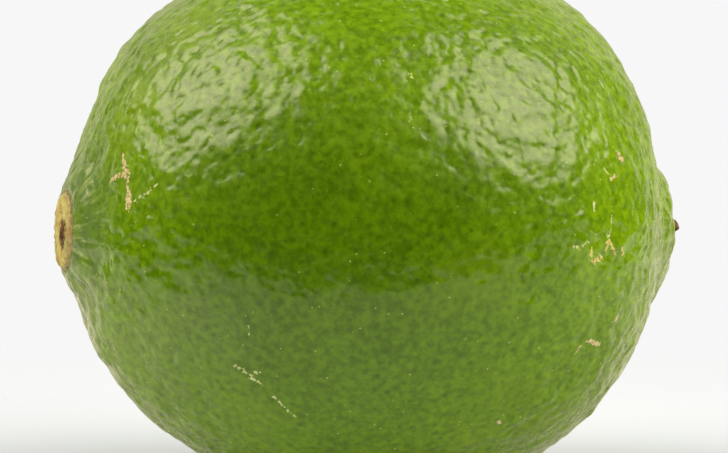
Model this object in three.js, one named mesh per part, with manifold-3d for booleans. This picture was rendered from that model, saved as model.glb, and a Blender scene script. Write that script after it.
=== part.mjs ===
// A whole lime, lying on its side on the small flat spot that it rests on.
//
// Millimetres, +Z up. The origin is on the resting plane, under the middle of the fruit. The fruit's
// axis runs along X: the woody stem button faces -X, and the stylar nipple points to +X.
// The fruit grew as one piece, so it is one closed solid.

import * as THREE from "three";
import { mergeVertices } from "three/addons/utils/BufferGeometryUtils.js";
import Module from "manifold-3d";

const wasm = await Module();
wasm.setup();

// The body is two half ellipsoids that meet at the widest section. Each has its own length, a shoulder
// that makes it fuller between its pole and the middle, and a pole that hangs a little low.
const BODY_RADIUS = 28.05;
const STEM_END = { half: 29.65, shoulder: 0.063, drop: 2.0 };
const TIP_END = { half: 29.25, shoulder: 0.155, drop: 1.35 };

// The collar is the low rise that carries the stem button, with a shallow trough round its foot.
const COLLAR = { height: 1.15, plateau: 3.0, foot: 8.8 };
const TROUGH = { depth: 0.12, radius: 9.4, width: 2.2 };

// The stem button is a shallow woody dish that stands up from the collar, with a sunken pith and a groove
// round its foot.
const BUTTON = { radius: 3.85, lift: 0.35, dish: 0.2, groove: 0.12, grooveRadius: 4.15, grooveWidth: 0.35 };
const PITH = { radius: 1.4, depth: 0.3 };

// The nipple swells out of the stylar end. The style left a dry stub on it, a little above and in front of
// the nipple's middle.
const NIPPLE = { height: 2.0, plateau: 3.9, foot: 9.6 };
const STUB = { radius: 1.0, height: 1.05, above: 0.9, before: 0.5 };

// The cross-section isn't quite round: each lobe is [waves, depth, phase]. The first makes the fruit
// a little wider than it is tall.
const LOBES = [
  [2, 0.5, 0],
  [3, 0.45, 5.0],
  [5, 0.08, 4.0],
];

// Ten faint furrows, one between each pair of segments, run out from the collar.
const FURROWS = { count: 10, depth: 0.18, radius: 7.5, width: 3.2 };

// The axis isn't quite level: the stylar end lies lower.
const LEAN = THREE.MathUtils.degToRad(2.3);

// The fruit's weight presses this much of its round side flat.
const PRESSED = 0.45;

const SLICES = 66; // round the axis
const BODY_RINGS = 34; // between the two ends' finer rings
const END_RADIUS = 10; // the rings are closer together inside this distance from the axis
const END_RINGS = 20;

/** 1 inside from, 0 outside to, with a smooth slope between. */
function fadeOut(value, from, to) {
  return 1 - THREE.MathUtils.smoothstep(value, from, to);
}

/** A bell of height 1 at centre. */
function bell(value, centre, width) {
  return Math.exp(-(((value - centre) / width) ** 2));
}

/** How far the stem end stands out past the plain body, at this distance and angle round the axis. */
function stemRise(r, round) {
  const collar = COLLAR.height * fadeOut(r, COLLAR.plateau, COLLAR.foot);
  const trough = TROUGH.depth * bell(r, TROUGH.radius, TROUGH.width);
  const disc = BUTTON.lift * fadeOut(r, 0.88 * BUTTON.radius, 1.03 * BUTTON.radius);
  const dish = BUTTON.dish * Math.max(0, 1 - (r / BUTTON.radius) ** 2);
  const groove = BUTTON.groove * bell(r, BUTTON.grooveRadius, BUTTON.grooveWidth);
  const pith = PITH.depth * fadeOut(r, 0, PITH.radius);
  const between = 0.5 - 0.5 * Math.cos(FURROWS.count * round);
  const furrow = FURROWS.depth * bell(r, FURROWS.radius, FURROWS.width) * between;
  return collar + disc - dish - trough - groove - pith - furrow;
}

/** How far the stylar end stands out past the plain body, at this place off the axis. */
function tipRise(y, z) {
  const nipple = NIPPLE.height * fadeOut(Math.hypot(y, z), NIPPLE.plateau, NIPPLE.foot);
  const fromStub = Math.hypot(y + STUB.before, z - STUB.above);
  return nipple + STUB.height * fadeOut(fromStub, 0.5 * STUB.radius, STUB.radius);
}

/** Moves a point of the plain body, whose widest section is at x = 0, to the lime's skin. */
function shapeSkin(point) {
  const atStem = point.x < 0;
  const r = Math.hypot(point.y, point.z);
  const round = Math.atan2(point.z, point.y);
  const girth = r / BODY_RADIUS; // 0 on the axis, 1 at the widest section
  const lobes = LOBES.map(([waves, depth, phase]) => depth * Math.cos(waves * round + phase));
  const outward = girth ** 3 * lobes.reduce((sum, lobe) => sum + lobe, 0);
  const swell = r > 0 ? 1 + outward / r : 1;
  const drop = (atStem ? STEM_END : TIP_END).drop * (1 - girth ** 2) ** 4;
  point.x += atStem ? -stemRise(r, round) : tipRise(point.y, point.z);
  point.y *= swell;
  point.z = point.z * swell - drop;
  return point;
}

/** The distances from the axis at which a half-profile has its rings, from its pole to the widest section. */
function ringRadii() {
  const radii = [];
  for (let i = 0; i < END_RINGS; i++) radii.push((END_RADIUS * i) / END_RINGS);
  const start = Math.asin(END_RADIUS / BODY_RADIUS);
  const half = BODY_RINGS / 2;
  for (let i = 0; i <= half; i++) {
    radii.push(BODY_RADIUS * Math.sin(THREE.MathUtils.lerp(start, Math.PI / 2, i / half)));
  }
  return radii;
}

/** How far along the axis the plain body reaches at distance r from the axis. */
function reach(r, end) {
  const girth = r / BODY_RADIUS;
  return end.half * Math.sqrt(Math.max(0, 1 - girth ** 2)) * (1 + end.shoulder * girth ** 2);
}

/** The plain body, turned from a lathe's upright axis to the fruit's axis along X. */
function plainBody() {
  const radii = ringRadii();
  const stemSide = radii.map((r) => new THREE.Vector2(r, -reach(r, STEM_END)));
  const tipSide = radii.map((r) => new THREE.Vector2(r, reach(r, TIP_END)));
  tipSide.pop(); // the widest section is in stemSide already
  const profile = [...stemSide, ...tipSide.reverse()];
  return new THREE.LatheGeometry(profile, SLICES).rotateZ(-Math.PI / 2);
}

/** A closed geometry as a manifold solid. */
function solidOf(geometry) {
  const bare = geometry.clone().deleteAttribute("normal").deleteAttribute("uv");
  const merged = mergeVertices(bare, 1e-3);
  return new wasm.Manifold(
    new wasm.Mesh({
      numProp: 3,
      vertProperties: merged.attributes.position.array,
      triVerts: new Uint32Array(merged.index.array),
    }),
  );
}

/** A manifold solid as a geometry. */
function geometryOf(solid) {
  const mesh = solid.getMesh();
  return new THREE.BufferGeometry()
    .setAttribute("position", new THREE.BufferAttribute(mesh.vertProperties, 3))
    .setIndex(new THREE.BufferAttribute(mesh.triVerts, 1));
}

/** The whole skin, before the resting spot is pressed flat. */
function skinGeometry() {
  const skin = plainBody();
  const points = skin.attributes.position;
  const point = new THREE.Vector3();
  for (let i = 0; i < points.count; i++) {
    shapeSkin(point.fromBufferAttribute(points, i));
    points.setXYZ(i, point.x, point.y, point.z);
  }
  return skin.rotateY(LEAN);
}

/** The fruit's geometry, with its flat spot at z = 0 and the middle of its outer box over the origin. */
function fruitGeometry() {
  const skin = skinGeometry();
  skin.computeBoundingBox();
  const floor = skin.boundingBox.min.z + PRESSED;
  const size = 4 * BODY_RADIUS;
  const below = new THREE.BoxGeometry(size, size, size).translate(0, 0, floor - size / 2);
  const fruit = geometryOf(solidOf(skin).subtract(solidOf(below)));
  fruit.computeBoundingBox();
  const middle = fruit.boundingBox.getCenter(new THREE.Vector3());
  fruit.translate(-middle.x, -middle.y, -floor);
  fruit.computeVertexNormals();
  return fruit;
}

const peel = new THREE.MeshStandardMaterial({ color: 0x5c8a12, roughness: 0.42, metalness: 0 });
const lime = new THREE.Mesh(fruitGeometry(), peel);
lime.name = "lime";

const group = new THREE.Group();
group.add(lime);

export default group;
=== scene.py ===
"""A whole lime that lies on its side on a pale floor, between two soft boxes.

The fruit is one closed mesh. It starts as a cube with finely divided faces, is rounded to a sphere, and
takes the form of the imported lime, with its woody stem button and style stub. Pebbles are then raised on its
skin and oil glands are sunk into it. Sizes of the fruit and its finish are in millimetres, and only the
studio's are in metres. A pair of distances says where something starts and where it is full or gone.
"""

import logging
import math
from dataclasses import dataclass, field, replace
from enum import Enum
from itertools import product

import bmesh
import bpy
import numpy as np
from mathutils import Matrix, Vector, kdtree, noise


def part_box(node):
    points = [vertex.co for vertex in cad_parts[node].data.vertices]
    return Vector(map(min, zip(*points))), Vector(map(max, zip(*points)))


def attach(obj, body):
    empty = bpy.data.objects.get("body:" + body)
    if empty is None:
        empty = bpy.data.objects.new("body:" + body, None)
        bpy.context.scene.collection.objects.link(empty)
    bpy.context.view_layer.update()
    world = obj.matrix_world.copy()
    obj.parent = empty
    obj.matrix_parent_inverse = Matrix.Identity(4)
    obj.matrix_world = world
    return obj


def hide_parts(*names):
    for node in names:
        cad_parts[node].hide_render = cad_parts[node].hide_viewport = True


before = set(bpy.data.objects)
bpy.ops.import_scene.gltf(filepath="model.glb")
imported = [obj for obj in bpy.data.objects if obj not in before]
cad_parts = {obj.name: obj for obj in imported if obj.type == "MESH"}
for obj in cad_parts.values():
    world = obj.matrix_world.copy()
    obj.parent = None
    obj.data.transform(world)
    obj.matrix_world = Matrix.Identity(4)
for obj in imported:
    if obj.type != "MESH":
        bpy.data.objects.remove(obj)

MM = 0.001
LIME_NODE = "lime"
FAR = 99.0  # further than any place on the fruit
FLANK = (-9.0, -27.0, 23.0)  # the middle of the smooth side that faces the front, which painted shade also darkens
SEED_SHIFT = (1.0, 2.3, 5.1)  # how far one seed's noise is from the next

log = logging.getLogger("lime")
Array = np.ndarray
Pair = tuple[float, float]
Colour = tuple[float, float, float]
Place = tuple[float, float, float]


def smoothstep(value: Array, low: float, high: float) -> Array:
    """Rises smoothly from 0 at low to 1 at high."""
    t = np.clip((value - low) / (high - low), 0.0, 1.0)
    return t * t * (3.0 - 2.0 * t)


def bell(value: Array, centre: float, width: float) -> Array:
    """A bell of height 1 at centre, which has fallen to about a third at the width on either side."""
    return np.exp(-(((value - centre) / width) ** 2))


def ripple(points: Array, size: float, seed: float) -> Array:
    """Smooth random noise from about -1 to 1, one number per row of points, with ripples of this size."""
    shift = Vector([step * seed for step in SEED_SHIFT])
    return np.array([noise.noise(Vector(p) / size + shift) for p in points])


# --- Form ---


@dataclass(frozen=True)
class EndForm:
    """One end of the body.

    Attributes:
        half: From the widest section to where the body alone would close.
        shoulder: How much fuller than an ellipse it is between its pole and the middle.
        drop: How far its pole hangs below the axis.
    """

    half: float
    shoulder: float
    drop: float

    def reach(self, girth: Array) -> Array:
        """How far along the axis the plain body reaches, if girth is 0 at the pole and 1 at the middle."""
        return self.half * np.sqrt(np.maximum(0.0, 1.0 - girth**2)) * (1.0 + self.shoulder * girth**2)


@dataclass(frozen=True)
class Rise:
    """A round rise at a pole: full height inside the plateau, blended out at the foot."""

    height: float
    plateau: float
    foot: float

    def at(self, r: Array) -> Array:
        """How high the rise stands at distance r from its middle."""
        return self.height * (1.0 - smoothstep(r, self.plateau, self.foot))


@dataclass(frozen=True)
class Ring:
    """A shallow round channel about a pole."""

    depth: float
    radius: float
    width: float

    def at(self, r: Array) -> Array:
        """How deep the channel is at distance r from the axis."""
        return self.depth * bell(r, self.radius, self.width)


@dataclass(frozen=True)
class StemButton:
    """The shallow woody dish that the stalk left, with a sunken pith, fibres and a groove round its foot.

    Attributes:
        edge: Where its edge starts to fall and where it is down, as shares of the radius.
        lift: How far the edge stands out.
        dish: How much deeper the middle is than the edge.
        pith_before: How far in front of the middle the pith is.
        waves: How many times its outline waves in and out, by a share of the radius.
        torn_share: How far noise tears the outline, as a share of the radius.
        fibre_wander: How far noise turns the fibres, in radians of their own wave.
        crumb_sink: How far its crumbs are sunk, counted in their height.
    """

    radius: float = 3.85
    edge: Pair = (0.88, 1.03)
    lift: float = 0.35
    dish: float = 0.2
    groove: Ring = Ring(depth=0.12, radius=4.15, width=0.35)
    pith: Rise = Rise(height=0.3, plateau=0.0, foot=1.4)
    pith_before: float = 1.5
    waves: float = 5.0
    wave_share: float = 0.02
    wave_phase: float = 0.7
    torn_share: float = 0.03
    fibre_count: int = 26
    fibre_depth: float = 0.04
    fibre_wander: float = 3.0
    fibre_start: Pair = (1.4, 2.4)
    fibre_end: Pair = (3.4, 3.9)
    crumb: float = 0.14
    crumb_sink: float = 0.7
    crumb_end: Pair = (3.6, 4.1)

    def at(self, r: Array, turn: Array, rough: Array) -> Array:
        """How far the button stands out.

        Args:
            r: Distance from the axis.
            turn: Angle round the axis.
            rough: Random noise at each place.

        Returns:
            One height per place.
        """
        wave = self.wave_share * np.cos(self.waves * turn + self.wave_phase)
        lobed = r * (1.0 + wave + self.torn_share * rough)
        off_pith = self.away(r * np.cos(turn), r * np.sin(turn))
        disc = self.lift * (1.0 - smoothstep(lobed, self.edge[0] * self.radius, self.edge[1] * self.radius))
        dish = self.dish * np.maximum(0.0, 1.0 - (lobed / self.radius) ** 2)
        fibres = self.fibre_depth * np.cos(self.fibre_count * turn + self.fibre_wander * rough)
        fibres *= smoothstep(lobed, *self.fibre_start) * (1.0 - smoothstep(lobed, *self.fibre_end))
        crumbs = self.crumb * (rough - self.crumb_sink) * (1.0 - smoothstep(lobed, *self.crumb_end))
        return disc - dish + fibres + crumbs - self.groove.at(lobed) - self.pith.at(off_pith)

    def away(self, y: Array, z: Array) -> Array:
        """How far off the pith's middle a place is, from its offsets off the axis."""
        return np.hypot(y + self.pith_before, z)


@dataclass(frozen=True)
class StyleStub:
    """The dry stub that the style left, a little above and in front of the nipple's middle.

    Attributes:
        flat_share: How much of its radius is full height.
        torn_share: How far noise tears its outline, as a share of the radius.
        uneven_share: How far noise changes its height, as a share of the height.
    """

    radius: float = 1.0
    height: float = 1.05
    above: float = 0.9
    before: float = 0.5
    flat_share: float = 0.5
    torn_share: float = 0.14
    uneven_share: float = 0.3

    def away(self, y: Array, z: Array) -> Array:
        """How far off the stub's middle a place is, from its offsets off the axis."""
        return np.hypot(y + self.before, z - self.above)

    def at(self, y: Array, z: Array, rough: Array) -> Array:
        """How far the stub stands out.

        Args:
            y: Offsets off the axis, sideways.
            z: Offsets off the axis, upwards.
            rough: Random noise at each place.

        Returns:
            One height per place.
        """
        ragged = self.away(y, z) * (1.0 + self.torn_share * rough)
        shape = 1.0 - smoothstep(ragged, self.flat_share * self.radius, self.radius)
        return self.height * (1.0 + self.uneven_share * rough) * shape


@dataclass(frozen=True)
class FruitForm:
    """The lime's smooth form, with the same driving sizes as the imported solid.

    Attributes:
        radius: The body's radius at its widest section.
        stem: The end with the stem button, at -X.
        tip: The end with the nipple, at +X.
        lobes: Waves, depth and phase of each way in which the cross-section isn't round.
        lobe_fade: The power with which those waves fade out towards the poles.
        drop_fade: The power with which a pole's drop fades out away from it.
        furrow: Where the faint furrows that run out from the collar are, and how deep.
        lean: How far the axis leans, with the tip lower.
        pressed: How much of the round side is pressed flat.
        woody_grain: The size of the ripples in the woody parts.
    """

    radius: float = 28.05
    stem: EndForm = EndForm(half=29.65, shoulder=0.063, drop=2.0)
    tip: EndForm = EndForm(half=29.25, shoulder=0.155, drop=1.35)
    collar: Rise = Rise(height=1.15, plateau=3.0, foot=8.8)
    trough: Ring = Ring(depth=0.12, radius=9.4, width=2.2)
    button: StemButton = StemButton()
    nipple: Rise = Rise(height=2.0, plateau=3.9, foot=9.6)
    stub: StyleStub = StyleStub()
    lobes: tuple[tuple[int, float, float], ...] = ((2, 0.5, 0.0), (3, 0.45, 5.0), (5, 0.08, 4.0))
    lobe_fade: int = 3
    drop_fade: int = 4
    furrow_count: int = 10
    furrow: Ring = Ring(depth=0.18, radius=7.5, width=3.2)
    lean: float = math.radians(2.3)
    pressed: float = 0.45
    woody_grain: float = 0.55
    woody_seed: float = 3.0

    def skin(self, directions: Array) -> Array:
        """Moves points of a unit sphere, whose axis is X, to the lime's skin.

        Args:
            directions: Unit vectors, one row each.

        Returns:
            Places in millimetres, before they are set down on the floor.
        """
        at_stem = directions[:, 0] < 0.0
        girth = np.hypot(directions[:, 1], directions[:, 2])
        turn = np.arctan2(directions[:, 2], directions[:, 1])
        r = self.radius * girth
        across = np.column_stack([np.sign(directions[:, 0]), r * np.cos(turn), r * np.sin(turn)])
        rough = ripple(across, self.woody_grain, self.woody_seed)
        stem_x = -self.stem.reach(girth) - self._stem_rise(r, turn, rough)
        stub = self.stub.at(r * np.cos(turn), r * np.sin(turn), rough)
        tip_x = self.tip.reach(girth) + self.nipple.at(r) + stub
        waving = sum(depth * np.cos(waves * turn + phase) for waves, depth, phase in self.lobes)
        lobes = girth**self.lobe_fade * waving
        drop = np.where(at_stem, self.stem.drop, self.tip.drop) * (1.0 - girth**2) ** self.drop_fade
        x = np.where(at_stem, stem_x, tip_x)
        y = (r + lobes) * np.cos(turn)
        z = (r + lobes) * np.sin(turn) - drop
        cos, sin = math.cos(self.lean), math.sin(self.lean)
        return np.column_stack([x * cos + z * sin, y, z * cos - x * sin])

    def _stem_rise(self, r: Array, turn: Array, rough: Array) -> Array:
        """How far the stem end stands out past the plain body."""
        furrows = self.furrow.at(r) * (0.5 - 0.5 * np.cos(self.furrow_count * turn))
        return self.collar.at(r) - self.trough.at(r) - furrows + self.button.at(r, turn, rough)


# --- Skin relief and marks ---


@dataclass(frozen=True)
class Pebbling:
    """The skin's relief.

    Attributes:
        waves: Size and height of each layer of soft waves, the broad ones first.
        wave_seed: Picks the first layer's pattern; each further one counts one up.
        pillows: Size and height of each layer of rounded pebbles with creases between them.
        gland_spacing: The least distance between two oil glands.
        gland_sizes: The smallest and the largest gland, where 1 is the usual one.
        gland_stray: How far a gland may stray from the vertex that it is put on.
        glands_off: How far the glands keep from the button's middle and from the stub.
        starts_at: Where the relief starts, counted in the same way.
        fades_in: How far past that it is full.
        coarse_ends: How much coarser both ends are.
        ends_at: Where along the fruit that is.
        flank_share: What is left of the relief on the smooth flank.
    """

    waves: tuple[Pair, ...] = ((7.0, 0.16), (2.6, 0.13), (1.6, 0.08))
    wave_seed: float = 11.0
    pillows: tuple[Pair, ...] = ((2.3, 0.2), (1.6, 0.12))
    pillow_seed: float = 31.0
    gland_spacing: float = 0.98
    gland_radius: float = 0.48
    gland_depth: float = 0.04
    gland_sizes: Pair = (0.55, 1.3)
    gland_stray: float = 0.12
    glands_off: Pair = (4.7, 1.5)
    starts_at: Pair = (4.2, 1.2)
    fades_in: float = 1.2
    coarse_ends: float = 0.25
    ends_at: Pair = (15.0, 25.0)
    flank_share: float = 0.45
    flank_reach: Pair = (11.0, 24.0)

    def height(self, points: Array) -> Array:
        """The pebbles' height over the smooth form.

        Args:
            points: Places in millimetres.

        Returns:
            One height per place.
        """
        waves = sum(
            height * ripple(points, size, self.wave_seed + i) for i, (size, height) in enumerate(self.waves)
        )
        return waves + sum(
            height * np.abs(ripple(points, size, self.pillow_seed + i))
            for i, (size, height) in enumerate(self.pillows)
        )

    def share(self, points: Array, from_stem: Array, from_tip: Array) -> Array:
        """How much of the relief shows at each place: none on the woody parts, less on the flank.

        Args:
            points: Places in millimetres.
            from_stem: Their distances from the stem's pole.
            from_tip: Their distances from the style stub.

        Returns:
            One share per place.
        """
        clear = np.minimum(from_stem - self.starts_at[0], from_tip - self.starts_at[1])
        share = smoothstep(clear, 0.0, self.fades_in)
        share *= 1.0 + self.coarse_ends * smoothstep(np.abs(points[:, 0]), *self.ends_at)
        off_flank = np.linalg.norm(points - np.array(FLANK), axis=1)
        off_it = smoothstep(off_flank, *self.flank_reach)
        return share * (self.flank_share + (1.0 - self.flank_share) * off_it)


class Blemish(Enum):
    """What a mark on the peel is made of."""

    RUSSET = 1
    SCRATCH = 2
    CORK = 3


@dataclass(frozen=True)
class Stroke:
    """A healed mark on the side that faces the front.

    Attributes:
        blemish: What it is made of.
        path: Each point's place along the fruit in millimetres, its angle up from the front in degrees, and
            the mark's half width there in millimetres.
    """

    blemish: Blemish
    path: tuple[tuple[float, float, float], ...]


STROKES = (
    Stroke(
        Blemish.RUSSET,
        (
            (-27.1, 38.4, 0.1), (-27.2, 33.0, 0.3), (-27.2, 28.4, 0.5), (-27.0, 25.0, 0.12),
        ),
    ),
    Stroke(Blemish.RUSSET, ((-27.2, 29.3, 0.3), (-27.8, 29.7, 0.2), (-28.2, 30.3, 0.1))),
    Stroke(Blemish.RUSSET, ((-27.1, 23.8, 0.1), (-27.1, 19.6, 0.24), (-27.2, 15.0, 0.42))),
    Stroke(
        Blemish.SCRATCH,
        (
            (-26.7, 15.8, 0.1), (-26.2, 17.1, 0.12), (-25.7, 18.0, 0.16), (-24.8, 19.6, 0.12),
        ),
    ),
    Stroke(Blemish.RUSSET, ((20.0, 21.9, 0.22), (20.3, 19.9, 0.26))),
    Stroke(Blemish.SCRATCH, ((17.9, 17.5, 0.12), (18.6, 15.3, 0.18), (18.8, 14.8, 0.16))),
    Stroke(Blemish.RUSSET, ((18.9, 14.9, 0.14), (19.4, 15.8, 0.16))),
    Stroke(Blemish.SCRATCH, ((16.7, 8.9, 0.2), (16.8, 7.0, 0.14))),
    Stroke(Blemish.SCRATCH, ((18.8, 7.2, 0.1), (18.6, 4.6, 0.12), (18.6, 2.1, 0.1), (18.4, 0.9, 0.2))),
    Stroke(Blemish.SCRATCH, ((14.2, -0.4, 0.26), (14.9, -1.0, 0.18), (15.5, 0.2, 0.26))),
    Stroke(
        Blemish.CORK,
        (
            (16.2, -1.4, 0.2), (16.1, -3.6, 0.22), (16.6, -5.0, 0.36), (17.3, -3.8, 0.34),
            (17.7, -5.2, 0.3),
        ),
    ),
    Stroke(
        Blemish.CORK,
        (
            (17.9, -2.6, 0.16), (18.4, -0.4, 0.28), (18.9, -3.0, 0.26), (19.1, -4.6, 0.2),
        ),
    ),
    Stroke(Blemish.CORK, ((20.0, -2.7, 0.18), (20.1, -4.6, 0.28))),
    Stroke(Blemish.RUSSET, ((19.9, -22.5, 0.16), (20.2, -22.0, 0.14))),
    Stroke(Blemish.RUSSET, ((16.7, -25.0, 0.14), (17.4, -25.7, 0.2), (18.0, -27.3, 0.16))),
    Stroke(Blemish.RUSSET, ((15.3, -26.9, 0.12), (15.9, -26.0, 0.12))),
    Stroke(Blemish.SCRATCH, ((-17.9, -30.3, 0.24), (-17.2, -31.0, 0.26), (-16.4, -31.4, 0.12))),
    Stroke(Blemish.SCRATCH, ((-16.4, -30.3, 0.24), (-16.1, -30.5, 0.2))),
    Stroke(Blemish.SCRATCH, ((-16.6, -32.4, 0.18), (-16.0, -32.8, 0.24), (-15.4, -33.4, 0.12))),
    Stroke(Blemish.SCRATCH, ((-14.4, -35.8, 0.16), (-13.2, -38.2, 0.1), (-12.2, -40.4, 0.18))),
    Stroke(Blemish.SCRATCH, ((-17.4, -18.1, 0.1), (-17.2, -20.7, 0.08))),
    Stroke(Blemish.RUSSET, ((7.9, -41.2, 0.18), (8.3, -42.4, 0.14))),
    Stroke(Blemish.SCRATCH, ((-1.5, 35.5, 0.2), (-1.6, 35.1, 0.2))),
    Stroke(Blemish.SCRATCH, ((-2.0, 26.4, 0.18), (-2.2, 25.7, 0.16))),
)


# --- Node graphs ---

Socket = bpy.types.NodeSocket
Value = Socket | float
Shade = Socket | Colour
Inputs = dict[int | str, Socket | float | Colour]


@dataclass(frozen=True)
class Band:
    """A smooth change of a number, from start at low to end at high."""

    low: float
    high: float
    start: float = 0.0
    end: float = 1.0


@dataclass(frozen=True)
class Grain:
    """Random noise: the size of its ripples, its octaves, and how much each finer octave counts."""

    size: float
    detail: float = 2.0
    roughness: float = 0.5


@dataclass(frozen=True)
class Mottle:
    """Random noise, sharpened into patches."""

    grain: Grain
    band: Band


class NodeGraph:
    """Builds a shader out of sockets, so that a finish reads as a sum of its layers."""

    def __init__(self, tree: bpy.types.NodeTree) -> None:
        """Empties the tree and starts on it."""
        self.tree = tree
        tree.nodes.clear()

    def node(self, kind: str, inputs: Inputs | None = None, **settings: str) -> bpy.types.Node:
        """Adds a node.

        Args:
            kind: The node's type name, without "ShaderNode".
            inputs: What goes into its inputs, which are named or numbered: a socket to link, or a value.
            **settings: Its properties.

        Returns:
            The new node.
        """
        made = self.tree.nodes.new("ShaderNode" + kind)
        for name, setting in settings.items():
            setattr(made, name, setting)
        for key, value in (inputs or {}).items():
            socket = made.inputs[key]
            if isinstance(value, bpy.types.NodeSocket):
                self.tree.links.new(value, socket)
            else:
                socket.default_value = (*value, 1.0) if socket.type == "RGBA" else value
        return made

    def math(self, operation: str, *values: Value) -> Socket:
        """A Math node on one to three numbers."""
        return self.node("Math", dict(enumerate(values)), operation=operation).outputs[0]

    def times(self, first: Value, second: Value) -> Socket:
        """One number times another."""
        return self.math("MULTIPLY", first, second)

    def plus(self, first: Value, second: Value) -> Socket:
        """One number plus another."""
        return self.math("ADD", first, second)

    def vector(self, operation: str, *values: Socket | Colour) -> Socket:
        """A Vector Math node that gives a vector."""
        return self.node("VectorMath", dict(enumerate(values)), operation=operation).outputs["Vector"]

    def measure(self, operation: str, *values: Socket | Colour) -> Socket:
        """A Vector Math node that gives a number, such as a length or a distance."""
        return self.node("VectorMath", dict(enumerate(values)), operation=operation).outputs["Value"]

    def scaled(self, vector: Socket, factor: float) -> Socket:
        """A vector times a number."""
        return self.node("VectorMath", {0: vector, "Scale": factor}, operation="SCALE").outputs["Vector"]

    def step(self, value: Value, band: Band) -> Socket:
        """Maps a number through a band."""
        inputs = dict(enumerate((value, band.low, band.high, band.start, band.end)))
        return self.node("MapRange", inputs, interpolation_type="SMOOTHSTEP").outputs["Result"]

    def mix(self, share: Value, first: Shade, second: Shade, kind: str = "MIX") -> Socket:
        """Mixes two colours in a kind of blend, where share is how much of the second there is."""
        inputs = {0: share, 6: first, 7: second}
        return self.node("Mix", inputs, data_type="RGBA", blend_type=kind).outputs[2]

    def tint(self, share: Value, colour: Socket, tint: Colour) -> Socket:
        """Multiplies a colour by a tint, as far as share says."""
        return self.mix(share, colour, self.mix(1.0, colour, tint, "MULTIPLY"))

    def blend(self, share: Value, first: Value, second: Value) -> Socket:
        """Mixes two numbers, where share is how much of the second there is."""
        return self.node("Mix", {0: share, 2: first, 3: second}, data_type="FLOAT").outputs[0]

    def noise(self, place: Socket, grain: Grain) -> Socket:
        """Random noise from 0 to 1, with ripples of the grain's size in the place's unit."""
        look = {"Scale": 1.0 / grain.size, "Detail": grain.detail, "Roughness": grain.roughness}
        return self.node("TexNoise", {"Vector": place, **look}).outputs["Fac"]

    def mottled(self, place: Socket, mottle: Mottle) -> Socket:
        """Random patches, as a number."""
        return self.step(self.noise(place, mottle.grain), mottle.band)

    def spots(self, place: Socket, size: float) -> tuple[Socket, Socket]:
        """Scattered points: the distance to the nearest, in cells of a size, and a random colour each."""
        made = self.node("TexVoronoi", {"Vector": place, "Scale": 1.0 / size})
        return made.outputs["Distance"], made.outputs["Color"]

    def attribute(self, name: str, output: str = "Fac") -> Socket:
        """Reads a value that the mesh carries."""
        return self.node("Attribute", attribute_name=name).outputs[output]

    def split(self, vector: Socket) -> tuple[Socket, ...]:
        """A vector's three parts."""
        return tuple(self.node("SeparateXYZ", {0: vector}).outputs)

    def bump(self, height: Socket) -> Socket:
        """A normal bent by a height in metres."""
        return self.node("Bump", {"Strength": 1.0, "Distance": 1.0, "Height": height}).outputs[0]


# --- Finishes ---


@dataclass(frozen=True)
class Skin:
    """What a finish knows about each place of the skin. A gland's reach is counted in its size."""

    place: Socket
    along: Socket
    up: Socket
    off_flank: Socket
    from_stem: Socket
    from_pith: Socket
    from_tip: Socket
    gland_reach: Socket
    gland_size: Socket

    @classmethod
    def read(cls, graph: NodeGraph) -> "Skin":
        """Reads it all from the object and its mesh.

        Args:
            graph: The finish's graph.

        Returns:
            The sockets.
        """
        place = graph.scaled(graph.node("TexCoord").outputs["Object"], 1.0 / MM)
        along, _, up = graph.split(place)
        to_gland = graph.measure("LENGTH", graph.attribute("to_gland", "Vector"))
        gland_size = graph.attribute("gland_size")
        return cls(
            place=place,
            along=along,
            up=up,
            off_flank=graph.measure("DISTANCE", place, FLANK),
            from_stem=graph.attribute("from_stem"),
            from_pith=graph.attribute("from_pith"),
            from_tip=graph.attribute("from_tip"),
            gland_reach=graph.math("DIVIDE", to_gland, gland_size),
            gland_size=gland_size,
        )


@dataclass(frozen=True)
class WoodyFinish:
    """Dry plant tissue in two colours, mottled with this grain: the woody ends and the healed marks."""

    pale: Colour
    dark: Colour
    roughness: float
    grain: float
    detail: float = 3.0
    patches: Band = Band(0.35, 0.65)

    def colour(self, graph: NodeGraph, place: Socket) -> Socket:
        """Its colour."""
        mottle = Mottle(Grain(self.grain, self.detail), self.patches)
        return graph.mix(graph.mottled(place, mottle), self.dark, self.pale)


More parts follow.
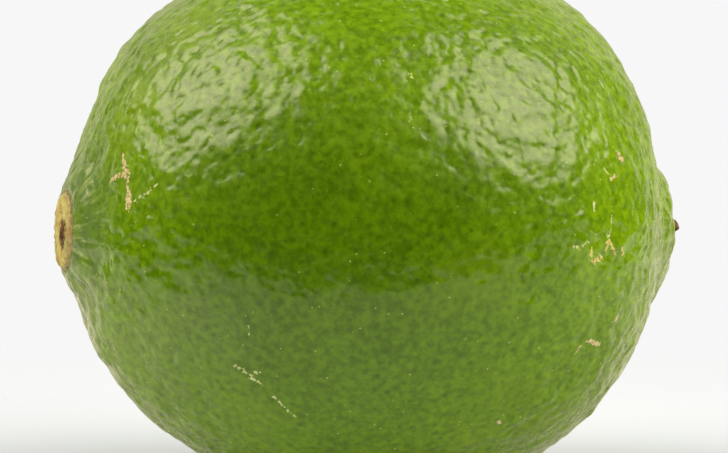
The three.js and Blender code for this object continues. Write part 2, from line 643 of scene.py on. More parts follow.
@dataclass(frozen=True)
class Green:
    """The green of the peel.

    It is deep and fresh green in broad and fine patches and yellowed in old ones. Painted shade darkens the
    flank that faces the front, and painted light brightens the upper parts of both ends. It has a bloom round
    the stem, pale pleats near both poles, darker oil glands and painted glints: pale specks that stand in for
    small highlights.
    A glint's reach is counted in the distance between glints.
    """

    deep: Colour = (0.064, 0.146, 0.0006)
    fresh: Colour = (0.154, 0.298, 0.002)
    broad: Mottle = Mottle(Grain(9.0), Band(0.3, 0.7, 0.0, 0.22))
    fine: Mottle = Mottle(Grain(0.8, 3.0, 0.6), Band(0.28, 0.74, 0.0, 0.74))
    yellowed: Colour = (0.18, 0.29, 0.004)
    old: Mottle = Mottle(Grain(16.0), Band(0.55, 0.75, 0.0, 0.3))
    # Painted shade: this tint darkens the flank that faces the front, fading out over flank_reach.
    flank: Colour = (0.76, 0.81, 0.5)
    flank_reach: Band = Band(11.0, 25.0, 1.0, 0.0)
    # Painted light: this tint brightens the upper parts of both ends, where the bands along and up meet.
    ends: Colour = (1.4, 1.32, 1.5)
    stem_end: Band = Band(-30.0, -22.0, 0.5, 0.0)
    stem_end_up: Band = Band(27.0, 42.0)
    tip_end: Band = Band(10.0, 22.0)
    tip_end_up: Band = Band(20.0, 36.0, 0.2, 0.85)
    bloom: Colour = (0.1, 0.168, 0.05)
    bloom_reach: Band = Band(5.0, 13.0, 1.0, 0.0)
    bloom_patch: Mottle = Mottle(Grain(2.5), Band(0.3, 0.7, 0.35, 1.0))
    pleat: Colour = (0.34, 0.42, 0.16)
    pleat_middle: Place = (0.0, 0.0, 26.5)
    pleats_around: float = 11.0
    pleats_along: Place = (0.55, 0.12, 0.12)
    pleat_noise: Grain = Grain(1.0, 3.0, 0.6)
    pleat_line: Band = Band(0.52, 0.66)
    stem_pleats: Band = Band(5.0, 12.0, 0.5, 0.0)
    tip_pleats: Band = Band(9.0, 17.0, 0.32, 0.0)
    gland: Colour = (0.74, 0.74, 0.74)
    gland_reach: Band = Band(0.05, 0.42, 1.0, 0.0)
    gland_seen: Mottle = Mottle(Grain(3.0), Band(0.35, 0.65, 0.35, 1.0))
    # Painted glints: pale specks scattered over the peel that stand in for small highlights.
    painted_glint: Colour = (0.45, 0.5, 0.16)
    painted_glint_size: float = 0.65
    painted_glint_reach: Band = Band(0.08, 0.18, 0.75, 0.0)
    painted_glint_chance: Band = Band(0.84, 0.9)

    def colour(self, graph: NodeGraph, skin: Skin) -> Socket:
        """The peel's colour with its patches, painted shade and light, pleats, glands and painted glints.

        Args:
            graph: The finish's graph.
            skin: The skin.

        Returns:
            The colour.
        """
        share = graph.plus(graph.mottled(skin.place, self.broad), graph.mottled(skin.place, self.fine))
        green = graph.mix(share, self.deep, self.fresh)
        green = graph.mix(graph.mottled(skin.place, self.old), green, self.yellowed)
        # Painted shade: darkens the flank that faces the front.
        green = graph.tint(graph.step(skin.off_flank, self.flank_reach), green, self.flank)
        # Painted light: brightens the upper parts of both ends.
        green = graph.tint(self._painted_light_at_ends(graph, skin), green, self.ends)
        patches = graph.mottled(skin.place, self.bloom_patch)
        bloom = graph.times(graph.step(skin.from_stem, self.bloom_reach), patches)
        green = graph.mix(bloom, green, self.bloom)
        green = graph.mix(self._pleats(graph, skin), green, self.pleat)
        seen = graph.mottled(skin.place, self.gland_seen)
        glands = graph.times(graph.step(skin.gland_reach, self.gland_reach), seen)
        green = graph.tint(glands, green, self.gland)
        # Painted glints: pale specks at some of the spots.
        distance, chance = graph.spots(skin.place, self.painted_glint_size)
        chosen = graph.step(graph.split(chance)[0], self.painted_glint_chance)
        return graph.mix(graph.times(graph.step(distance, self.painted_glint_reach), chosen), green, self.painted_glint)

    def _painted_light_at_ends(self, graph: NodeGraph, skin: Skin) -> Socket:
        """How much of the painted light on the upper parts of both ends a place has.

        Args:
            graph: The finish's graph.
            skin: The skin.

        Returns:
            A share from 0 to 1.
        """
        stem = graph.times(graph.step(skin.along, self.stem_end), graph.step(skin.up, self.stem_end_up))
        tip = graph.times(graph.step(skin.along, self.tip_end), graph.step(skin.up, self.tip_end_up))
        return graph.plus(stem, tip)

    def _pleats(self, graph: NodeGraph, skin: Skin) -> Socket:
        """How plain the pleats are: noise that is drawn out along the fruit, near both poles.

        Args:
            graph: The finish's graph.
            skin: The skin.

        Returns:
            A share from 0 to 1.
        """
        off_middle = graph.vector("SUBTRACT", skin.place, self.pleat_middle)
        off_axis = graph.vector("MULTIPLY", off_middle, (0.0, 1.0, 1.0))
        around = graph.scaled(graph.vector("NORMALIZE", off_axis), self.pleats_around)
        slow = graph.vector("MULTIPLY", skin.place, self.pleats_along)
        lines = graph.noise(graph.vector("ADD", around, slow), self.pleat_noise)
        at_stem = graph.step(skin.from_stem, self.stem_pleats)
        reach = graph.math("MAXIMUM", at_stem, graph.step(skin.from_tip, self.tip_pleats))
        return graph.times(graph.step(lines, self.pleat_line), reach)


@dataclass(frozen=True)
class Wax:
    """The gloss of the peel, which is duller where it has been handled, and its fine relief.

    The relief is made of pebbles, the dents between them, a fine grain and a pore over each gland. The flank
    says how much of it all is left there.
    """

    roughness: Band = Band(25.0, 35.0, 0.14, 0.275)
    wear: Mottle = Mottle(Grain(1.6), Band(0.3, 0.7, -0.03, 0.04))
    pebble: Grain = Grain(1.5, 1.0)
    pebble_height: float = 0.17
    dent: Mottle = Mottle(Grain(1.5, 1.0), Band(0.3, 0.52, -0.04, 0.0))
    grain: Grain = Grain(0.22)
    grain_height: float = 0.004
    pore: Band = Band(0.0, 0.45, -0.018, 0.0)
    flank: Band = Band(11.0, 24.0, 0.45, 1.0)

    def gloss(self, graph: NodeGraph, skin: Skin) -> Socket:
        """The wax's roughness."""
        return graph.plus(graph.step(skin.up, self.roughness), graph.mottled(skin.place, self.wear))

    def height(self, graph: NodeGraph, skin: Skin) -> Socket:
        """The fine relief in millimetres.

        Args:
            graph: The finish's graph.
            skin: The skin.

        Returns:
            The height.
        """
        pebbles = graph.times(graph.noise(skin.place, self.pebble), self.pebble_height)
        pebbles = graph.plus(pebbles, graph.mottled(skin.place, self.dent))
        grain = graph.times(graph.noise(skin.place, self.grain), self.grain_height)
        pore = graph.times(graph.step(skin.gland_reach, self.pore), skin.gland_size)
        height = graph.plus(graph.plus(pebbles, grain), pore)
        return graph.times(height, graph.step(skin.off_flank, self.flank))


@dataclass(frozen=True)
class MarkFinish:
    """One kind of healed mark. Its hold is how much of the noise that tears its outline is left out."""

    blemish: Blemish
    tissue: WoodyFinish
    hold: float


@dataclass(frozen=True)
class HealedMarks:
    """The healed marks on the peel.

    Attributes:
        kinds: The kinds that there are.
        tear: The noise that tears their outlines.
        fade: How fast a mark fades away from its path, for each of its half widths.
        edge: How soft its outline is.
        same: How far a kind's number may be off.
    """

    kinds: tuple[MarkFinish, ...] = (
        MarkFinish(Blemish.RUSSET, WoodyFinish((0.56, 0.48, 0.28), (0.34, 0.24, 0.1), 0.7, 0.3), 0.31),
        MarkFinish(Blemish.SCRATCH, WoodyFinish((0.5, 0.56, 0.26), (0.28, 0.36, 0.1), 0.6, 0.3), 0.4),
        MarkFinish(Blemish.CORK, WoodyFinish((0.5, 0.49, 0.17), (0.34, 0.25, 0.065), 0.65, 0.3), 0.38),
    )
    tear: Grain = Grain(0.3, 2.0, 0.6)
    fade: float = 0.17
    edge: float = 0.05
    same: float = 0.25

    def over(self, graph: NodeGraph, skin: Skin, colour: Socket, rough: Socket) -> tuple[Socket, Socket]:
        """Lays the marks over the peel.

        Args:
            graph: The finish's graph.
            skin: The skin.
            colour: The peel's colour.
            rough: The peel's roughness.

        Returns:
            The colour and the roughness with the marks.
        """
        along, across, length = graph.split(graph.attribute("mark", "Vector"))
        outside = graph.math("MAXIMUM", graph.times(along, -1.0), graph.math("SUBTRACT", along, length))
        past = graph.math("MAXIMUM", outside, 0.0)
        away = graph.math("SQRT", graph.plus(graph.times(past, past), graph.times(across, across)))
        strength = graph.math("SUBTRACT", graph.noise(skin.place, self.tear), graph.times(away, self.fade))
        here = graph.attribute("mark_kind")
        for kind in self.kinds:
            is_kind = graph.math("COMPARE", here, float(kind.blemish.value), self.same)
            mask = graph.times(is_kind, graph.step(strength, Band(kind.hold, kind.hold + self.edge)))
            colour = graph.mix(mask, colour, kind.tissue.colour(graph, skin.place))
            rough = graph.blend(mask, rough, kind.tissue.roughness)
        return colour, rough


@dataclass(frozen=True)
class WoodyEnds:
    """The stem button with its rim and pith, painted shade in the groove round its foot, and the style stub.

    Attributes:
        tear: The noise that tears their outlines.
        torn: How far it tears the button's, the pith's and the stub's.
        crevice_shade_edges: Where the painted shade in the groove round the button begins and ends.
    """

    button: WoodyFinish = WoodyFinish((0.46, 0.43, 0.14), (0.32, 0.25, 0.075), 0.75, 1.2)
    rim: WoodyFinish = WoodyFinish((0.42, 0.35, 0.16), (0.2, 0.14, 0.06), 0.75, 0.7)
    pith: WoodyFinish = WoodyFinish((0.16, 0.08, 0.02), (0.03, 0.015, 0.006), 0.9, 0.5)
    stub: WoodyFinish = WoodyFinish((0.24, 0.15, 0.08), (0.05, 0.025, 0.015), 0.8, 0.5)
    tear: Grain = Grain(0.7, 4.0, 0.65)
    torn: tuple[float, float, float] = (1.2, 2.2, 0.5)
    button_edge: Band = Band(3.9, 4.1, 1.0, 0.0)
    rim_edge: Band = Band(3.5, 3.75)
    # Painted shade: the groove round the button's foot is drawn with the pith's dark colour.
    crevice_shade_edges: tuple[Band, Band] = (Band(3.9, 4.05), Band(4.05, 4.25, 0.7, 0.0))
    pith_edge: Band = Band(1.25, 1.6, 1.0, 0.0)
    stub_edge: Band = Band(0.95, 1.15, 1.0, 0.0)
    grain: Grain = Grain(0.3, 4.0, 0.6)
    grain_height: float = 0.12

    def over(
        self, graph: NodeGraph, skin: Skin, colour: Socket, rough: Socket, height: Socket
    ) -> tuple[Socket, Socket, Socket]:
        """Lays the woody parts over the peel.

        Args:
            graph: The finish's graph.
            skin: The skin.
            colour: The peel's colour.
            rough: The peel's roughness.
            height: The peel's fine relief.

        Returns:
            The colour, the roughness and the relief with the woody parts.
        """
        torn = graph.math("SUBTRACT", graph.noise(skin.place, self.tear), 0.5)
        from_stem, from_pith, from_tip = (
            graph.plus(distance, graph.times(torn, reach))
            for distance, reach in zip((skin.from_stem, skin.from_pith, skin.from_tip), self.torn)
        )
        button = graph.step(from_stem, self.button_edge)
        stub = graph.step(from_tip, self.stub_edge)
        # Painted shade in the groove round the button's foot, drawn with the pith's colour.
        inner, outer = (graph.step(from_stem, edge) for edge in self.crevice_shade_edges)
        layers = (
            (button, self.button),
            (graph.times(button, graph.step(from_stem, self.rim_edge)), self.rim),
            (graph.times(inner, outer), self.pith),
            (graph.step(from_pith, self.pith_edge), self.pith),
            (stub, self.stub),
        )
        for mask, tissue in layers:
            colour = graph.mix(mask, colour, tissue.colour(graph, skin.place))
            rough = graph.blend(mask, rough, tissue.roughness)
        grain = graph.times(graph.noise(skin.place, self.grain), self.grain_height)
        return colour, rough, graph.blend(graph.math("MAXIMUM", button, stub), height, grain)


@dataclass(frozen=True)
class PeelFinish:
    """The waxy green peel, the healed marks on it and the woody parts at both poles."""

    green: Green = Green()
    wax: Wax = Wax()
    marks: HealedMarks = HealedMarks()
    ends: WoodyEnds = WoodyEnds()
    ior: float = 1.45

    def build(self) -> bpy.types.Material:
        """Makes the material.

        Returns:
            One material for the whole fruit.
        """
        material = bpy.data.materials.new("lime_peel")
        material.use_nodes = True
        graph = NodeGraph(material.node_tree)
        skin = Skin.read(graph)
        colour, rough = self.green.colour(graph, skin), self.wax.gloss(graph, skin)
        colour, rough = self.marks.over(graph, skin, colour, rough)
        colour, rough, height = self.ends.over(graph, skin, colour, rough, self.wax.height(graph, skin))
        normal = graph.bump(graph.times(height, MM))
        shader = graph.node("BsdfPrincipled", {"Base Color": colour, "Roughness": rough, "Normal": normal})
        shader.inputs["IOR"].default_value = self.ior
        graph.node("OutputMaterial", {"Surface": shader.outputs[0]})
        return material


# --- The fruit ---


class Glands:
    """The oil glands of the peel: their places in millimetres, and their sizes, where 1 is the usual one."""

    def __init__(self, places: Array, sizes: Array) -> None:
        """Keeps them, ready for a search.

        Args:
            places: Where they are.
            sizes: How large they are.
        """
        self.places = places
        self.sizes = sizes
        self._tree = kdtree.KDTree(len(places))
        for i, place in enumerate(places):
            self._tree.insert(place, i)
        self._tree.balance()

    @classmethod
    def scatter(cls, points: Array, clear: Array, pebbling: Pebbling, seed: int) -> "Glands":
        """Puts glands on the skin at random, no two closer than the least spacing.

        Args:
            points: The skin's vertices, in millimetres.
            clear: How far each vertex is outside the woody ends, in millimetres; none is put inside them.
            pebbling: Says how large and how close they are.
            seed: Picks where they are; the next one picks their sizes.

        Returns:
            The glands.
        """
        random = np.random.default_rng(seed)
        spacing = pebbling.gland_spacing
        stray = pebbling.gland_stray
        cells: dict[tuple[int, int, int], list[Array]] = {}
        places = []
        for i in random.permutation(len(points)):
            if clear[i] < 0.0:
                continue
            point = points[i] + random.uniform(-stray, stray, 3)
            x, y, z = (int(math.floor(c / spacing)) for c in point)
            around = product((x - 1, x, x + 1), (y - 1, y, y + 1), (z - 1, z, z + 1))
            near = [other for cell in around for other in cells.get(cell, ())]
            if all(np.dot(point - other, point - other) > spacing * spacing for other in near):
                cells.setdefault((x, y, z), []).append(point)
                places.append(point)
        sizes = np.random.default_rng(seed + 1).uniform(*pebbling.gland_sizes, len(places))
        return cls(np.array(places), sizes)

    def nearest(self, points: Array) -> tuple[Array, Array]:
        """For each point, the nearest gland's number and how far it is."""
        found = [self._tree.find(point) for point in points]
        return np.array([hit[1] for hit in found]), np.array([hit[2] for hit in found])


@dataclass(frozen=True)
class Vertices:
    """The skin's vertices in millimetres: places, outward normals and distances to what is at the poles."""

    points: Array
    normals: Array
    from_stem: Array
    from_pith: Array
    from_tip: Array


@dataclass(frozen=True)
class Corners:
    """The mesh's corners: each one's vertex and face, and the centres of the faces."""

    vertex: Array
    face: Array
    centres: Array

    @classmethod
    def read(cls, mesh: bpy.types.Mesh) -> "Corners":
        """Reads them.

        Args:
            mesh: The mesh.

        Returns:
            The corners.
        """
        vertex = np.empty(len(mesh.loops), dtype=np.int32)
        mesh.loops.foreach_get("vertex_index", vertex)
        counts = np.array([p.loop_total for p in mesh.polygons])
        face = np.repeat(np.arange(len(mesh.polygons)), counts)
        return cls(vertex, face, np.array([p.center for p in mesh.polygons]))


@dataclass(frozen=True)
class Leg:
    """A straight piece of a mark's path.

    Attributes:
        out: The skin's normal at its start.
        halves: The mark's half width at its start and at its end.
        depth: How far below or above it the skin can still have the mark.
    """

    start: Array
    end: Array
    out: Array
    halves: Pair
    depth: float = 2.0

    @property
    def length(self) -> float:
        """How long it is."""
        return np.linalg.norm(self.end - self.start)

    def off(self, places: Array) -> tuple[Array, Array, Array]:
        """Measures places against the leg.

        Args:
            places: The places.

        Returns:
            How far they are along the leg, to its side and off the skin.
        """
        heading = (self.end - self.start) / self.length
        offset = places - self.start
        return offset @ heading, offset @ np.cross(self.out, heading), offset @ self.out

    def away(self, places: Array) -> Array:
        """Measures how far off the leg places are.

        Args:
            places: The places.

        Returns:
            The distances, which are FAR or more where the skin is too far off the leg.
        """
        along, across, off_skin = self.off(places)
        past = np.maximum(np.maximum(-along, along - self.length), 0.0)
        return np.hypot(past, across) + np.where(np.abs(off_skin) > self.depth, FAR, 0.0)

    def counted(self, places: Array) -> Array:
        """Measures places in the mark's half widths.

        Args:
            places: The places.

        Returns:
            How far they are along and across the leg, and its length, all counted in the half width there.
        """
        along, across, _ = self.off(places)
        first, second = self.halves
        half = first + (second - first) * np.clip(along / self.length, 0.0, 1.0)
        return np.column_stack([along / half, across / half, self.length / half])


def store(mesh: bpy.types.Mesh, name: str, domain: str, values: Array) -> None:
    """Keeps numbers, or rows of three, on each point, corner or face of a mesh for its finish to read."""
    kind, slot = ("FLOAT", "value") if values.ndim == 1 else ("FLOAT_VECTOR", "vector")
    mesh.attributes.new(name, kind, domain).data.foreach_set(slot, values.astype(np.float32).ravel())


@dataclass
class LimeFruit:
    """The whole fruit, as one closed mesh.

    Attributes:
        form: Its smooth form.
        pebbling: Its skin's relief.
        finish: Its material.
        strokes: The marks on its peel.
        divisions: Faces along each edge of the cube that it is rounded from.
        end_rings: Distances from the axis inside which both ends' faces are divided once more.
        mark_reach: How far from its path a mark can show, in millimetres.
        seed: Picks where the glands are.
    """

    form: FruitForm = field(default_factory=FruitForm)
    pebbling: Pebbling = field(default_factory=Pebbling)
    finish: PeelFinish = field(default_factory=PeelFinish)
    strokes: tuple[Stroke, ...] = STROKES
    divisions: int = 114
    end_rings: tuple[float, ...] = (5.6, 4.3)
    mark_reach: float = 1.2
    seed: int = 20

    def build(self) -> bpy.types.Object:
        """Makes the fruit's mesh in its place and dresses it.

        Returns:
            The finished object.
        """
        bm = self._divided_sphere()
        directions = self._directions(bm)
        points = self._set_down(self.form.skin(directions))
        self._move(bm, points)
        bm.normal_update()
        smooth = self._vertices(directions, points, np.array([v.normal for v in bm.verts]))
        stem_off, tip_off = self.pebbling.glands_off
        clear = np.minimum(smooth.from_stem - stem_off, smooth.from_tip - tip_off)
        glands = Glands.scatter(smooth.points, clear, self.pebbling, self.seed)
        pebbled = smooth.points + smooth.normals * self._relief(smooth, glands)[:, None]
        pebbled[:, 2] = np.maximum(pebbled[:, 2], 0.0)
        self._move(bm, pebbled)
        bmesh.ops.recalc_face_normals(bm, faces=bm.faces)
        mesh = bpy.data.meshes.new("lime_fruit")
        bm.to_mesh(mesh)
        bm.free()
        self._carry(mesh, replace(smooth, points=pebbled), glands)
        mesh.transform(Matrix.Scale(MM, 4))
        mesh.shade_smooth()
        mesh.materials.append(self.finish.build())
        fruit = bpy.data.objects.new("lime_fruit", mesh)
        bpy.context.collection.objects.link(fruit)
        log.info("lime_fruit: %d faces, %d glands", len(mesh.polygons), len(glands.places))
        return fruit

    def _divided_sphere(self) -> bmesh.types.BMesh:
        """A cube with an even grid on each face, and a finer grid about both poles.

        Returns:
            The cube, 2 units wide and not rounded yet.
        """
        bm = bmesh.new()
        bmesh.ops.create_cube(bm, size=2.0)
        bmesh.ops.subdivide_edges(bm, edges=bm.edges[:], cuts=self.divisions - 1, use_grid_fill=True)
        for ring in self.end_rings:
            reach = ring / self.form.radius
            ends = [f for f in bm.faces if self._off_axis(f.calc_center_median()) < reach]
            edges = list({e for f in ends for e in f.edges})
            bmesh.ops.subdivide_edges(bm, edges=edges, cuts=1, use_grid_fill=True)
        return bm

    def _off_axis(self, point: Vector) -> float:
        """The sine of the angle between the fruit's axis and a point of the cube, once it is rounded."""
        bent = Vector([math.tan(c * math.pi / 4.0) for c in point]).normalized()
        return math.hypot(bent.y, bent.z)

    def _directions(self, bm: bmesh.types.BMesh) -> Array:
        """Unit vectors for the cube's vertices, bent so that the faces come out nearly the same size."""
        bent = np.tan(np.array([v.co for v in bm.verts]) * math.pi / 4.0)
        return bent / np.linalg.norm(bent, axis=1)[:, None]

    def _set_down(self, points: Array) -> Array:
        """Presses the lowest side flat at z = 0 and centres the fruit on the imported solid's box.

        Args:
            points: The vertices' places, in millimetres.

        Returns:
            Their new places.
        """
        low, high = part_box(LIME_NODE)
        middle = (points.max(axis=0) + points.min(axis=0)) / 2.0
        floor = points[:, 2].min() + self.form.pressed
        to_x = (low.x + high.x) / 2.0 / MM - middle[0]
        to_y = (low.y + high.y) / 2.0 / MM - middle[1]
        placed = points + np.array([to_x, to_y, low.z / MM - floor])
        placed[:, 2] = np.maximum(placed[:, 2], 0.0)
        return placed

    def _move(self, bm: bmesh.types.BMesh, points: Array) -> None:
        """Puts the vertices at these places."""
        for vertex, point in zip(bm.verts, points):
            vertex.co = point

    def _vertices(self, directions: Array, points: Array, normals: Array) -> Vertices:
        """Gathers what is known about the vertices of the smooth form.

        Args:
            directions: Each vertex's unit vector.
            points: Its place, in millimetres.
            normals: Its normal.

        Returns:
            The vertices.
        """
        y, z = self.form.radius * directions[:, 1], self.form.radius * directions[:, 2]
        at_stem = directions[:, 0] < 0.0
        girth = self.form.radius * np.hypot(directions[:, 1], directions[:, 2])
        return Vertices(
            points=points,
            normals=normals,
            from_stem=np.where(at_stem, girth, FAR),
            from_pith=np.where(at_stem, self.form.button.away(y, z), FAR),
            from_tip=np.where(at_stem, FAR, self.form.stub.away(y, z)),
        )

    def _relief(self, skin: Vertices, glands: Glands) -> Array:
        """How far each vertex moves out from the smooth form.

        Args:
            skin: The vertices.
            glands: The glands.

        Returns:
            One height per vertex.
        """
        nearest, distance = glands.nearest(skin.points)
        depth = self.pebbling.gland_depth * glands.sizes[nearest]
        dimple = depth * bell(distance, 0.0, self.pebbling.gland_radius)
        share = self.pebbling.share(skin.points, skin.from_stem, skin.from_tip)
        return (self.pebbling.height(skin.points) - dimple) * share

    def _carry(self, mesh: bpy.types.Mesh, skin: Vertices, glands: Glands) -> None:
        """Stores on the mesh what the finish reads: the distances to the poles, the glands and the marks.

        Args:
            mesh: The fruit's mesh, in millimetres.
            skin: Its vertices.
            glands: Its glands.
        """
        for name in ("from_stem", "from_pith", "from_tip"):
            store(mesh, name, "POINT", getattr(skin, name))
        corners = Corners.read(mesh)
        nearest, _ = glands.nearest(corners.centres)
        offsets = skin.points[corners.vertex] - glands.places[nearest][corners.face]
        out = skin.normals[corners.vertex]
        offsets -= out * np.sum(offsets * out, axis=1)[:, None]
        store(mesh, "to_gland", "CORNER", offsets)
        store(mesh, "gland_size", "FACE", glands.sizes[nearest])
        self._carry_marks(mesh, skin, corners)

    def _carry_marks(self, mesh: bpy.types.Mesh, skin: Vertices, corners: Corners) -> None:
        """Stores what the nearest mark is, and where along and across it each corner is.

        Args:
            mesh: The fruit's mesh, in millimetres.
            skin: Its vertices.
            corners: Its corners.
        """
        places = skin.points[corners.vertex]
        closest = np.full(len(corners.centres), self.mark_reach)
        kind = np.zeros(len(corners.centres))
        counted = np.full((len(corners.vertex), 3), FAR)
        for stroke in self.strokes:
            for leg in self._legs(stroke, skin):
                away = leg.away(corners.centres)
                inside = away < closest
                closest[inside] = away[inside]
                kind[inside] = stroke.blemish.value
                touched = inside[corners.face]
                counted[touched] = leg.counted(places[touched])
        store(mesh, "mark", "CORNER", counted)
        store(mesh, "mark_kind", "FACE", kind)

    def _legs(self, stroke: Stroke, skin: Vertices) -> list[Leg]:
        """Lays a mark's path over the skin.

        Args:
            stroke: The mark.
            skin: The fruit's vertices.

        Returns:
            The path's straight pieces.
        """
        ends = [self._front_vertex(skin.points, along, up) for along, up, _ in stroke.path]
        halves = [half for _, _, half in stroke.path]
        return [
            Leg(skin.points[a], skin.points[b], skin.normals[a], pair)
            for a, b, pair in zip(ends, ends[1:], zip(halves, halves[1:]))
        ]

    def _front_vertex(self, points: Array, along: float, up: float) -> int:
        """Finds the vertex nearest a place on the front.

        Args:
            points: The vertices' places, in millimetres.
            along: How far along the fruit the place is, in millimetres.
            up: How far up from the front it is, in degrees.

        Returns:
            The vertex's number.
        """
        middle = (points[:, 2].max() + points[:, 2].min()) / 2.0
        off_axis = np.hypot(points[:, 1], points[:, 2] - middle)
        turn = np.arctan2(points[:, 2] - middle, -points[:, 1])
        gap = (points[:, 0] - along) ** 2 + (off_axis * (turn - math.radians(up))) ** 2
        return int(np.argmin(gap))


# --- The studio ---


@dataclass(frozen=True)
class SoftBox:
    """A round soft light that points at the fruit.

    Attributes:
        direction: From the fruit to the light.
        stretch: How much longer than round its long axis is.
        roll: How far that axis is turned from level.
        spread: Half the angle that it spans, seen from the fruit.
        beam: The angle off its axis at which it goes dark, which makes its rim dimmer than its middle.
    """

    name: str
    direction: Place
    stretch: float
    roll: float
    radiance: float
    distance: float = 0.6
    spread: float = math.radians(27.5)
    beam: float = math.radians(50.0)
    colour: Colour = (1.0, 0.87, 0.66)

    def build(self, target: Vector) -> None:
        """Makes the light.

        Args:
            target: What it is aimed at.
        """
        size = 2.0 * self.distance * math.tan(self.spread)
        light = bpy.data.lights.new(self.name, "AREA")
        light.shape = "ELLIPSE"
        light.size = size * self.stretch
        light.size_y = size / self.stretch
        light.spread = 2.0 * self.beam
        beam_gain = math.tan(self.beam) / (math.tan(self.beam) - self.beam)
        light.energy = self.radiance * math.pi * math.pi * (size / 2.0) ** 2 / beam_gain
        light.color = self.colour
        lamp = bpy.data.objects.new(self.name, light)
        away = Vector(self.direction).normalized()
        lamp.location = target + away * self.distance
        upright = away.to_track_quat("Z", "Y").to_matrix()
        lamp.rotation_euler = (upright @ Matrix.Rotation(self.roll, 3, "Z")).to_euler()
        lamp.visible_camera = False
        bpy.context.collection.objects.link(lamp)


@dataclass(frozen=True)
class Sheet:
    """The white sheet on the floor. The camera, the light and reflections each see another white.

    Attributes:
        reach: How far it reaches left, right, forward and back.
        edge: How far behind the fruit it ends in reflections, as the camera sees it; below 0 is in front.
        past_edge: What is mirrored past that.
        glow: Its brighter white beside the stem end, in reflections.
        melt: How it melts into the background for the camera, away from the fruit.
    """

    reach: tuple[float, float, float, float] = (-0.18, 0.18, -0.13, 0.9)
    seen: Colour = (0.52, 0.6, 0.75)
    lit: Colour = (0.75, 0.8, 0.85)
    mirrored: Colour = (0.57, 0.57, 0.57)
    edge: float = -0.074
    edge_soft: float = 0.003
    past_edge: Colour = (0.02, 0.02, 0.02)
    glow: Colour = (0.98, 0.98, 0.98)
    glow_place: Place = (-0.058, -0.012, 0.0)
    glow_reach: Band = Band(0.015, 0.045, 1.0, 0.0)
    melt: Band = Band(0.0, 0.12)

    def build(self, azimuth: float) -> None:
        """Makes the sheet.

        Args:
            azimuth: How far the camera stands round from the front, in radians.
        """
        left, right, front, back = self.reach
        bm = bmesh.new()
        bmesh.ops.create_grid(bm, x_segments=1, y_segments=1, size=0.5)
        bmesh.ops.scale(bm, verts=bm.verts, vec=(right - left, back - front, 1.0))
        bmesh.ops.translate(bm, verts=bm.verts, vec=((right + left) / 2.0, (back + front) / 2.0, 0.0))
        mesh = bpy.data.meshes.new("floor")
        bm.to_mesh(mesh)
        bm.free()
        mesh.materials.append(self._material(azimuth))
        floor = bpy.data.objects.new("floor", mesh)
        bpy.context.collection.objects.link(floor)

    def _material(self, azimuth: float) -> bpy.types.Material:
        """Matt white, clear to the camera away from the fruit.

        Args:
            azimuth: How far the camera stands round from the front, in radians.

        Returns:
            The material.
        """
        material = bpy.data.materials.new("white_sheet")
        material.use_nodes = True
        graph = NodeGraph(material.node_tree)
        place = graph.node("TexCoord").outputs["Object"]
        x, y, _ = graph.split(place)
        path = graph.node("LightPath").outputs
        towards_back = graph.times(y, math.cos(azimuth))
        behind = graph.math("SUBTRACT", towards_back, graph.times(x, math.sin(azimuth)))
        edge = Band(self.edge - self.edge_soft, self.edge + self.edge_soft)
        mirrored = graph.mix(graph.step(behind, edge), self.past_edge, self.mirrored)
        off_glow = graph.measure("DISTANCE", place, self.glow_place)
        mirrored = graph.mix(graph.step(off_glow, self.glow_reach), mirrored, self.glow)
        colour = graph.mix(path["Is Glossy Ray"], self.lit, mirrored)
        matt = graph.node("BsdfDiffuse", {"Color": graph.mix(path["Is Camera Ray"], colour, self.seen)})
        away = graph.math("SQRT", graph.plus(graph.times(x, x), graph.times(y, y)))
        gone = graph.times(graph.step(away, self.melt), path["Is Camera Ray"])
        clear = graph.node("BsdfTransparent")
        both = graph.node("MixShader", {0: gone, 1: matt.outputs[0], 2: clear.outputs[0]})
        graph.node("OutputMaterial", {"Surface": both.outputs[0]})
        return material


@dataclass(frozen=True)
class Room:
    """What is round it all: pale for the camera, and for light and reflections dark with a pale back wall.

    How far the wall reaches is counted in cosines of the angle off the direction of its middle.
    """

    backdrop: Colour = (0.93, 0.93, 0.93)
    dark: Colour = (0.015, 0.015, 0.015)
    wall: Colour = (0.93, 0.82, 0.6)
    wall_towards: Place = (0.223, 0.967, 0.12)
    wall_reach: Band = Band(0.56, 0.88)

    def build(self) -> None:
        """Makes the scene's world."""
        world = bpy.data.worlds.new("studio")
        world.use_nodes = True
        bpy.context.scene.world = world
        graph = NodeGraph(world.node_tree)
        direction = graph.vector("NORMALIZE", graph.node("TexCoord").outputs["Generated"])
        towards_wall = graph.measure("DOT_PRODUCT", direction, self.wall_towards)
        room = graph.mix(graph.step(towards_wall, self.wall_reach), self.dark, self.wall)
        seen = graph.mix(graph.node("LightPath").outputs["Is Camera Ray"], room, self.backdrop)
        background = graph.node("Background", {"Color": seen})
        graph.node("OutputWorld", {"Surface": background.outputs[0]})


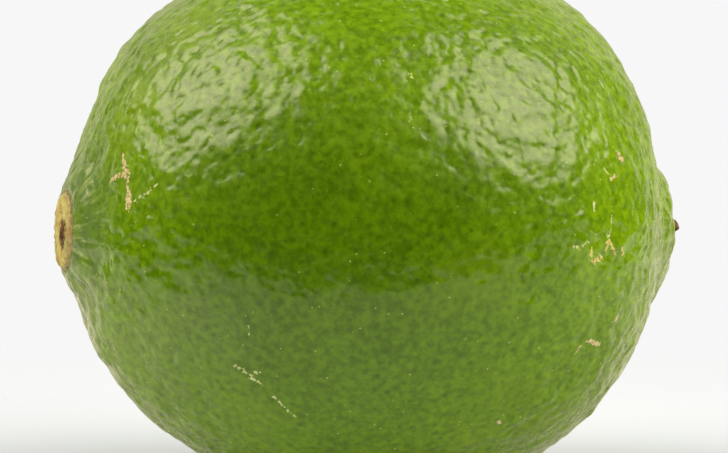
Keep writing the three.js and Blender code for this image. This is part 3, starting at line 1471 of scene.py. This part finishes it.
@dataclass(frozen=True)
class Camera:
    """A long lens that looks at the fruit.

    Attributes:
        azimuth: How far it stands round from the front; below 0 is towards the stem.
        elevation: How far it looks down.
        frame_width: What it sees from side to side at the fruit.
        aim: Where it looks, right of and above the fruit's middle.
        sensor_width: Its sensor's width, in millimetres.
        clip: The least and the greatest distance that it sees.
    """

    azimuth: float = math.radians(-13.0)
    elevation: float = math.radians(7.0)
    distance: float = 0.6
    frame_width: float = 0.0728
    aim: Pair = (-0.7 * MM, -0.85 * MM)
    sensor_width: float = 36.0
    clip: Pair = (0.01, 20.0)

    def build(self, target: Vector) -> None:
        """Makes the scene's camera.

        Args:
            target: The fruit's middle.
        """
        sin_a, cos_a = math.sin(self.azimuth), math.cos(self.azimuth)
        sin_e, cos_e = math.sin(self.elevation), math.cos(self.elevation)
        back = Vector((sin_a * cos_e, -cos_a * cos_e, sin_e))
        right = Vector((cos_a, sin_a, 0.0))
        up = Vector((-sin_a * sin_e, cos_a * sin_e, cos_e))
        data = bpy.data.cameras.new("camera")
        data.sensor_width = self.sensor_width
        data.lens = self.sensor_width * self.distance / self.frame_width
        data.clip_start, data.clip_end = self.clip
        camera = bpy.data.objects.new("camera", data)
        camera.location = target + right * self.aim[0] + up * self.aim[1] + back * self.distance
        camera.rotation_euler = back.to_track_quat("Z", "Y").to_euler()
        bpy.context.collection.objects.link(camera)
        bpy.context.scene.camera = camera


@dataclass(frozen=True)
class Studio:
    """Everything round the fruit."""

    sheet: Sheet = Sheet()
    room: Room = Room()
    lights: tuple[SoftBox, ...] = (
        SoftBox("soft_box_left", (-0.70, 0.115, 0.722), 1.17, math.radians(45.0), 8.7),
        SoftBox("soft_box_right", (0.668, -0.372, 0.68), 1.08, math.radians(32.0), 9.3),
    )
    camera: Camera = Camera()

    def build(self) -> None:
        """Makes it all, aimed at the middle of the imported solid's box."""
        low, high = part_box(LIME_NODE)
        target = (low + high) / 2.0
        self.sheet.build(self.camera.azimuth)
        self.room.build()
        for light in self.lights:
            light.build(target)
        self.camera.build(target)


def main() -> None:
    """Builds the studio and the fruit, and hands the fruit over to the frame."""
    logging.basicConfig(level=logging.INFO, format="%(message)s")
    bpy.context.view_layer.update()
    bpy.context.scene.view_settings.view_transform = "Standard"
    Studio().build()
    log.info("studio: floor, two soft boxes and camera")
    fruit = LimeFruit().build()
    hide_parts(LIME_NODE)
    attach(fruit, "root")


if __name__ == "__main__":
    main()
